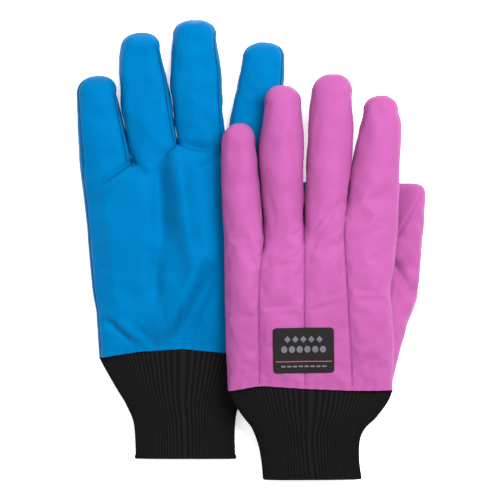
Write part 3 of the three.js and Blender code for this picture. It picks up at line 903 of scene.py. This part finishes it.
# %% Cut and join every panel
for side, skin in skins.items():
    glove = GLOVES[side]
    palm_is_up = glove["palm_up"]
    finger_part = np.s_[HAND_ROWS - 1 :]
    pinky, ring, middle, index = skin.palm[:, :HAND_ROWS]
    across = [pinky[:, SEAM:], ring[:, 1:], middle[:, 1:], index[:, 1 : ARC - SEAM]]
    palm = panel(skin, f"{side}_palm", np.concatenate(across, axis=1), glove, palm_is_up)
    attach(palm, side, "hand", [f"{side}_palm_panel"])
    for lane, finger in enumerate(FINGERS):
        ids = skin.back[lane]
        # The outer lanes' back also wraps over the side as far as the palm's seam.
        if lane == 0:
            ids = np.concatenate([skin.palm[lane, :, SEAM:0:-1], ids], axis=1)
        if lane == 3:
            ids = np.concatenate([ids, skin.palm[lane, :, -2 : -SEAM - 2 : -1]], axis=1)
        back = panel(skin, f"{side}_back_{finger}", ids, glove, not palm_is_up)
        attach(back, side, finger, [f"{side}_back_strip_{finger}", f"{side}_{finger}_back"])
        ids = skin.palm[lane, finger_part]
        front = panel(skin, f"{side}_front_{finger}", ids[:, SEAM : ARC - SEAM], glove, palm_is_up)
        attach(front, side, finger, [f"{side}_{finger}_front"])
        for other, columns in ((lane - 1, np.s_[: SEAM + 1]), (lane + 1, np.s_[ARC - SEAM - 1 :])):
            if 0 <= other < 4:
                to = f"{finger}_fourchette_to_{FINGERS[other]}"
                strip = panel(skin, f"{side}_{to}", ids[:, columns], glove, palm_is_up)
                attach(strip, side, finger, [f"{side}_{to}"])
    print(side, "panels cut")

# %% [markdown]
# ## Seam threads
# Each visible seam is closed with bonded thread of the cloth's own colour, some shades deeper. It lies at
# the bottom of the seam's furrow as one round cord, drawn as thick as it needs to show.

# %% Threads along the seams
THREAD = 0.42  # radius in millimetres; a real one is about half of that
THREAD_SIDES = 8
THREAD_STOPS = 8  # rows before the fingertip at which the outer seam's thread ends
PROUD = 0.15  # how far the thread's middle stands above the cloth, in millimetres


def thread(name, line, out, made_of, slot):
    """A round cord: each point of the line + THREAD (n cos a + b sin a), where n is the cloth's normal
    squared up to the line and b stands across both. Its ends close on the line itself."""
    along = np.gradient(line, axis=0)
    along /= np.linalg.norm(along, axis=1, keepdims=True)
    b = np.cross(out, along)
    b /= np.linalg.norm(b, axis=1, keepdims=True)
    n = np.cross(along, b)
    a = -np.linspace(0, 2 * np.pi, THREAD_SIDES, endpoint=False)[None, :, None]
    away = n[:, None] * np.cos(a) + b[:, None] * np.sin(a)
    grid = line[:, None] + THREAD * away
    ends = [np.repeat(line[k][None, None], THREAD_SIDES, axis=1) for k in (0, -1)]
    caps = [np.repeat(s * along[k][None, None], THREAD_SIDES, axis=1) for k, s in ((0, -1), (-1, 1))]
    grid = np.concatenate([ends[0], grid, ends[1]])
    away = np.concatenate([caps[0], away, caps[1]]).reshape(-1, 3)
    index = np.arange(len(away)).reshape(grid.shape[:2])
    run = np.concatenate([[0], np.linalg.norm(np.diff(grid.mean(axis=1), axis=0), axis=1).cumsum()])
    round_it = np.arange(THREAD_SIDES) * 2 * np.pi * THREAD / THREAD_SIDES
    uv = np.stack(np.broadcast_arrays(round_it[None], run[:, None]), axis=2).reshape(-1, 2) * MM
    faces = quads(np.concatenate([index, index[:, :1]], axis=1))
    return link(name, solid_mesh(name, grid.reshape(-1, 3) * MM, faces, uv, away), made_of)


for side, skin in skins.items():
    glove = GLOVES[side]
    last = ARC - 1 - SEAM
    whole = np.s_[1:-THREAD_STOPS]
    seams = [("pinky", "outer", skin.palm[0, whole, SEAM]), ("index", "outer", skin.palm[3, whole, last])]
    seams += [(f, "inner", skin.palm[k, HAND_ROWS:-CAP_ROWS, last]) for k, f in enumerate(FINGERS[:3])]
    seams += [("hand", f"back_{k}", skin.back[k, 2 : HAND_ROWS - 10, 0]) for k in (1, 2, 3)]
    for finger, place, ids in seams:
        line = skin.points[ids] + skin.normals[ids] * PROUD
        name = f"{side}_{finger}_seam_{place}"
        cord = thread(name, line, skin.normals[ids], glove["thread"], glove["slot"])
        attach(cord, side, finger, [])
print("seams sewn")

# %% [markdown]
# ## Thumbs
# A thumb is sewn as its own tube and set into the side of the palm. It is a row of closed sections
# between a left and a right line, from the wrist's corner to the tip.


# %% Thumb shells
THUMB_ROWS = 101
THUMB_COLUMNS = 96
THUMB_TIP_POWER = 3.6
THUMB_ROOT = 6  # the thumb's first rows, which the wrist holds
THUMB_SEAM_HOLD = 0.8  # how firmly the thumb's two side seams hold
ROUND = 2.6  # the superellipse power of the sections of thumbs and wrists


def ring_tube(left, right, middle, half_height, power, columns, turn):
    """Closed sections across each row: M + H u, height m + h w, with (u, w) round a superellipse:
    u = cos(a) |cos(a)|^(2/power - 1), w = sin(a) |sin(a)|^(2/power - 1). turn is the way round, 1 or -1,
    that makes the step round it times the step along it point out."""
    a = turn * np.linspace(0, 2 * np.pi, columns, endpoint=False)
    u = np.sign(np.cos(a)) * np.abs(np.cos(a)) ** (2 / power)
    w = np.sign(np.sin(a)) * np.abs(np.sin(a)) ** (2 / power)
    plan = (left + right)[:, None] / 2 + (right - left)[:, None] / 2 * u[None, :, None]
    height = middle[:, None] + half_height[:, None] * w[None]
    return np.concatenate([plan, height[..., None]], axis=2)


def ring_normals(grid):
    """Outward normals of a closed grid: the cross product of the steps round and along it."""
    round_it = np.roll(grid, -1, axis=1) - np.roll(grid, 1, axis=1)
    along = np.gradient(grid, axis=0)
    n = np.cross(round_it, along)
    n /= np.maximum(np.linalg.norm(n, axis=2, keepdims=True), 1e-9)
    return n


def thumb_grid(glove):
    """The thumb's closed rows from wrist to tip. Past the straight part every row takes the last
    height of the list, times how full the tip still is there."""
    lines = glove["thumb"]
    a, b, full = finger_rows(lines["left"], lines["right"], lines["tip"], THUMB_TIP_POWER, THUMB_ROWS)
    share = np.concatenate([np.linspace(0, 1, THUMB_ROWS), np.ones(CAP_ROWS)])
    middle, reach = between(lines["heights"], share)
    return ring_tube(a + SHIFT, b + SHIFT, middle, reach * full, ROUND, THUMB_COLUMNS, -1)


LINED_ROWS = np.s_[30:-24:2]  # the thumb's rows that hold padding
LINER_SIZE = 0.66  # the padding's section, as a share of the shell's
THUMB_FOLDS = {
    "right": [(30, -20, 44, -34, 4, -1.4), (36, 8, 48, 2, 5, -0.8)],
    "left": [
        (104, -6, 124, -38, 3.4, -2.2),
        (112, -6, 128, -30, 5, 1.2),
        (108, -30, 119, -56, 4, -1.3),
        (106, 12, 127, 6, 5, -0.7),
    ],
}
RIDGE = (130.5, 47), (106, 5)  # the fold of the upper glove's thumb, from its tip to the palm
RIDGE_FALL = 0.62  # how fast the cloth falls away beyond the ridge, towards the index finger


def fall_away(grid):
    """Lowers the points beyond the ridge by RIDGE_FALL times their distance d from it, with a soft
    start: (d + sqrt(d^2 + 2)) / 2."""
    start, end = (np.array(p) + SHIFT for p in RIDGE)
    run = (end - start) / np.linalg.norm(end - start)
    d = (grid[..., :2] - start) @ np.array([run[1], -run[0]])
    seam = 1.4 * np.exp(-((d / 1.0) ** 2)) * ease((grid[..., 1] - end[1]) / 8)
    return RIDGE_FALL * (d + np.sqrt(d**2 + 2)) / 2 + seam


for side, glove in GLOVES.items():
    grid = thumb_grid(glove)
    normals = ring_normals(grid)
    normals[-1] = [*glove["thumb"]["along"], 0]
    count = grid.shape[1]
    held = np.zeros(grid.shape[:2])
    held[:THUMB_ROOT] = 1
    held[:, [0, count // 2]] = THUMB_SEAM_HOLD
    coarse = grid[::2, ::2]
    index = np.arange(coarse.size // 3).reshape(coarse.shape[:2])
    faces = quads(np.concatenate([index, index[:, :1]], axis=1)[:-1])
    still = held[::2, ::2].ravel()
    moved = np.zeros(grid.shape)
    moved[::2, ::2] = billow(f"{side} thumb", coarse.reshape(-1, 3), faces, still).reshape(coarse.shape)
    moved[1::2, ::2] = (moved[:-2:2, ::2] + moved[2::2, ::2]) / 2
    moved[:, 1::2] = (moved[:, ::2] + np.roll(moved[:, ::2], -1, axis=1)) / 2
    for _ in range(3):
        moved[1:-1] = (moved[:-2] + 2 * moved[1:-1] + moved[2:]) / 4
        moved = (np.roll(moved, 1, axis=1) + 2 * moved + np.roll(moved, -1, axis=1)) / 4
    moved[-3:] = moved[-3].mean(axis=0)
    grid = grid + moved
    flat = grid.reshape(-1, 3)
    wave = waviness(flat, 24, 2.1).reshape(grid.shape[:2]) * 0.3
    top = ease(normals[..., 2] * 2.5)
    wave += fold_height(flat, THUMB_FOLDS[side]).reshape(grid.shape[:2]) * top
    wave[-3:] = wave[-3].mean()
    grid = grid + normals * wave[..., None]
    if side == "left":
        grid[..., 2] -= fall_away(grid) * ease(normals[..., 2] + 0.5)
    if side == "right":
        grid[..., 2] = np.minimum(grid[..., 2], PRESSED[0] - 0.8)
    grid[..., 2] = np.maximum(grid[..., 2], REST)
    normals = ring_normals(grid)
    normals[-1] = [*glove["thumb"]["along"], 0]
    mesh = sheet_mesh(f"{side}_thumb_shell", grid, normals, CLOTH, True)
    shell = link(f"{side}_thumb_shell", mesh, glove["nylon"])
    attach(shell, side, "thumb", [f"{side}_thumb_front", f"{side}_thumb_back"])
    part = grid[LINED_ROWS, ::2]
    middle = part.mean(axis=1, keepdims=True)
    inner = part * LINER_SIZE + middle * (1 - LINER_SIZE)
    mesh = sheet_mesh(f"{side}_liner_thumb", inner, ring_normals(inner), 2.6, True)
    liner = link(f"{side}_liner_thumb", mesh, BATTING)
    attach(liner, side, "thumb", [f"{side}_thumb_liner"])

# %% [markdown]
# ## Padding and lining
# Under the shell lies the batting and, inside that, the fleece. Only a glance into the wrist shows them,
# but they are there, set in from the shell.

# %% Liners
def inset_tube(name, left, right, middle, reach, power, inset, thick, made_of):
    """A double-walled tube along two lines drawn in by inset, its height drawn in as much."""
    toward = (right - left) / np.linalg.norm(right - left, axis=1, keepdims=True)
    grid = ring_tube(left + toward * inset, right - toward * inset, middle, reach - inset, power, 40, -1)
    return link(name, sheet_mesh(name, grid, ring_normals(grid), thick, True), made_of)


LINER_ROWS = 27  # of a finger's rows, from the knuckle to the start of its rounded tip
WRIST_ROWS = 7  # the hand's first rows, which the padding leaves free for the knit to be sewn in
for side, glove in GLOVES.items():
    for lane, finger in enumerate(FINGERS):
        outer = glove["fingers"][finger]
        ends = glove["lines"][lane][-1], glove["lines"][lane + 1][-1]
        a, b, _ = finger_rows([ends[0], *outer[0]], [ends[1], *outer[1]], outer[2], glove["tip_power"])
        a, b = a[3:LINER_ROWS] + SHIFT, b[3:LINER_ROWS] + SHIFT
        middle, reach = np.full(len(a), float(glove["middle"])), np.full(len(a), glove["half_height"])
        name = f"{side}_liner_{finger}"
        liner = inset_tube(name, a, b, middle, reach, 2.4, 2.2, 3.2, BATTING)
        attach(liner, side, finger, [f"{side}_{finger}_liner"])
    a, b = (smooth_line(glove["lines"][k], HAND_ROWS)[: int(HAND_ROWS * 0.62)] + SHIFT for k in (0, 4))
    a, b = a[WRIST_ROWS:], b[WRIST_ROWS:]
    share = np.arange(WRIST_ROWS, len(a) + WRIST_ROWS) / HAND_ROWS
    under, top = between(glove["levels"], share)
    for name, inset, thick, made_of, slot in (
        ("insulation", 6, 2.2, BATTING, "insulation"),
        ("lining", 8.4, 0.8, FLEECE, "fleece"),
    ):
        tube = f"{side}_{name}"
        piece = inset_tube(tube, a, b, (under + top) / 2, (top - under) / 2, 3.2, inset, thick, made_of)
        attach(piece, side, "hand", [f"{side}_hand_{name}"])

# %% [markdown]
# ## Rib-knit wrists
# The wrist is a tube of rib knit, folded double at its end. Ribs are columns of stitches that stand up,
# about 1.6 millimetres apart where the tube is at rest and wider where it is stretched to the hand.

# %% Cuffs
RIBS = 108
PER_RIB = 6
RIB_HEIGHT = 0.45
COURSE_ROWS = 3.2
COURSE_HEIGHT = 0.06
CUFF_ROWS = 76
KNIT = 2.4  # thickness of the doubled knit, in millimetres


def cuff_mesh(name, glove):
    """Outer face from the hand to the mouth, round the fold, and back up inside. The outer radius swells
    by RIB_HEIGHT * |cos| of half a turn per rib, and shallow courses run round it every COURSE_ROWS rows."""
    cuff = glove["cuff"]
    rows = CUFF_ROWS
    left, right = smooth_line(cuff["left"], rows) + SHIFT, smooth_line(cuff["right"], rows) + SHIFT
    middle, reach = between(cuff["heights"], np.linspace(0, 1, rows))
    tuck = ease(1 - np.arange(rows) / 6) * 1.4
    outer = ring_tube(left, right, middle, reach - tuck, ROUND, RIBS * PER_RIB, 1)
    a = np.linspace(0, 2 * np.pi, RIBS * PER_RIB, endpoint=False)
    bow = cuff["bow"] * (1 - np.cos(a) ** 2)[None] * ease(1 - np.arange(rows) / 26)[:, None]
    outer[..., 1] += bow
    n = ring_normals(outer)
    rib = RIB_HEIGHT * (np.abs(np.cos(a * RIBS / 2)) - 0.5)[None]
    course = COURSE_HEIGHT * np.sin(2 * np.pi * np.arange(rows) / COURSE_ROWS)[:, None]
    sag = waviness(outer.reshape(-1, 3), 26, 0.7).reshape(outer.shape[:2]) * 0.5
    face = outer + n * (rib + course + sag)[..., None]
    face[..., 2] = np.maximum(face[..., 2], REST)
    inner = outer - n * KNIT
    turn = np.linspace(0, np.pi, 7)[1:-1, None, None]
    core, radius = outer[-1] - n[-1] * KNIT / 2, KNIT / 2
    down = np.array([0, -1.0, 0])
    bend = core + radius * (np.cos(turn) * n[-1] + np.sin(turn) * down)
    grid = np.concatenate([face, bend, inner[::-1]])
    grid[..., 2] = np.maximum(grid[..., 2], REST)
    points = grid.reshape(-1, 3) * MM
    count = grid.shape[1]
    index = np.arange(len(points)).reshape(-1, count)
    index = np.concatenate([index, index[:, :1]], axis=1)
    index = np.concatenate([index, index[:1]])
    faces = quads(index)
    away = ring_normals(grid)
    ribs = a * RIBS / (2 * np.pi) * RIB
    length = np.cumsum(np.linalg.norm(np.diff(grid, axis=0, prepend=grid[:1]), axis=2).mean(axis=1)) * MM
    uv = np.stack(np.broadcast_arrays(ribs[None], length[:, None]), axis=2).reshape(-1, 2)
    return solid_mesh(name, points, faces, uv, away.reshape(-1, 3))


for side, glove in GLOVES.items():
    cuff = link(f"{side}_cuff", cuff_mesh(f"{side}_cuff", glove), RIB_KNIT)
    attach(cuff, side, "hand", [f"{side}_knit_cuff"])
    print(side, "cuff:", len(cuff.data.polygons), "faces")

# %% [markdown]
# ## Labels
# A woven label is sewn on the back of each hand. It is damask with a rolled edge and a raised hem line.
# Rows of lozenges, beads and dashes and one rose line are woven on it. No lettering is drawn.

# %% Labels
LABEL_SIZE = (45, 33.5)
LABEL_THICK = 0.8
LABEL_GRID = 46


def resting_height(side, X, Y):
    """Height of the shell under (or over) each place: that of the nearest point of the back, then the
    mean over a few millimetres either way, raised until it clears every point."""
    skin = skins[side]
    sign = -1 if GLOVES[side]["palm_up"] else 1
    back = skin.points[np.unique(skin.back)]
    near = np.abs(back[:, :2] - [X.mean(), Y.mean()]).max(axis=1) < 30
    back = back[near & (np.abs(back[:, 2] - back[near, 2].mean()) < 12)]
    gaps = (X.ravel()[:, None] - back[:, 0]) ** 2 + (Y.ravel()[:, None] - back[:, 1]) ** 2
    height = (back[np.argmin(gaps, axis=1), 2] * sign).reshape(X.shape)
    smooth = height
    for _ in range(30):
        edge = np.pad(smooth, 1, mode="edge")
        smooth = (edge[:-2, 1:-1] + edge[2:, 1:-1] + edge[1:-1, :-2] + edge[1:-1, 2:]) / 4
    return sign * (smooth + (height - smooth).max())


def patch(name, X, Y, Z, finish_used):
    """A thin sheet over a grid of places, turned so that it faces away from the hand."""
    top = np.stack([X, Y, Z], axis=2)
    if top[..., 2].mean() < 25:
        top = top[:, ::-1]
    n = np.cross(np.gradient(top, axis=1), np.gradient(top, axis=0))
    # A pointed end has no area, so it takes the normal straight away from the hand.
    size = np.linalg.norm(n, axis=2, keepdims=True)
    straight = np.array([0, 0, -1.0 if top[..., 2].mean() < 25 else 1.0])
    n = np.where(size > 1e-6, n / np.maximum(size, 1e-6), straight)
    return link(name, sheet_mesh(name, top, n, LABEL_THICK * 0.7), finish_used)


# Woven marks in the label's own millimetres: x, y, width, height, and how many stand in the row.
MARKS = (("lozenges", 0, 8.2, 4.8, 5.2, 5), ("beads", 0, 0.8, 4.6, 5, 6), ("dashes", 0, -11.8, 3.2, 1.3, 8))
for side, glove in GLOVES.items():
    low, high = (np.array(v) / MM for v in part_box(f"{side}_label"))
    centre = (low + high) / 2
    sign = -1 if glove["palm_up"] else 1
    s = np.linspace(-1, 1, LABEL_GRID)
    x, y = np.meshgrid(s, s)
    # Rounded corners: near a corner both coordinates draw in.
    corner = np.clip(np.abs(x) + np.abs(y) - 1.9, 0, 1) * 0.45
    x, y = x * (1 - corner), y * (1 - corner)
    X, Y = centre[0] + x * LABEL_SIZE[0] / 2 - 0.3 * y, centre[1] + y * LABEL_SIZE[1] / 2 + 0.3 * x
    rest = resting_height(side, X, Y)
    inward = (1 - np.abs(s)) / 2
    edge = np.minimum(LABEL_SIZE[0] * inward[None, :], LABEL_SIZE[1] * inward[:, None])
    rolled = np.sqrt(np.clip(edge / 0.8, 0, 1))
    hem = 0.22 * np.exp(-(((edge - 1.6) / 0.5) ** 2))
    Z = np.maximum(rest + sign * (LABEL_THICK * rolled + hem), 2 * REST)
    label = patch(f"{side}_label_woven", X, Y, Z, DAMASK)
    attach(label, side, "hand", [f"{side}_label"])

    def on_label(u, v):
        """The label's surface at its own millimetres u, v: straight interpolation in its grid."""
        i = np.clip((v / LABEL_SIZE[1] + 0.5) * (LABEL_GRID - 1), 0, LABEL_GRID - 1.001)
        k = np.clip((u / LABEL_SIZE[0] + 0.5) * (LABEL_GRID - 1), 0, LABEL_GRID - 1.001)
        i0, k0 = i.astype(int), k.astype(int)
        f, g = i - i0, k - k0
        grids = [A[i0, k0] * (1 - f) * (1 - g) + A[i0 + 1, k0] * f * (1 - g) for A in (X, Y, Z)]
        more = [A[i0, k0 + 1] * (1 - f) * g + A[i0 + 1, k0 + 1] * f * g for A in (X, Y, Z)]
        return [a + b for a, b in zip(grids, more)]

    for name, x0, y0, w, h, number in MARKS:
        for k in range(number):
            u, v = np.meshgrid(np.linspace(-1, 1, 7), np.linspace(-1, 1, 7))
            if name == "lozenges":
                u = u * (1 - np.abs(v))
            if name == "beads":
                u, v = u * np.sqrt(1 - v**2 / 2), v * np.sqrt(1 - u**2 / 2)
            shift = (k - (number - 1) / 2) * (w + 1.1)
            a, b, c = on_label(x0 + shift + u * w / 2, y0 + v * h / 2)
            mark = patch(f"{side}_label_{name}_{k + 1}", a, b, c + sign * 0.12, LABEL_THREAD)
            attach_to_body(mark, f"{side}_hand")
    u, v = np.meshgrid(np.linspace(-20.5, 20.5, 30), np.linspace(-0.35, 0.35, 3))
    a, b, c = on_label(u, v - 8.2)
    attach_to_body(patch(f"{side}_label_line", a, b, c + sign * 0.12, LABEL_ACCENT), f"{side}_hand")
print("labels woven")
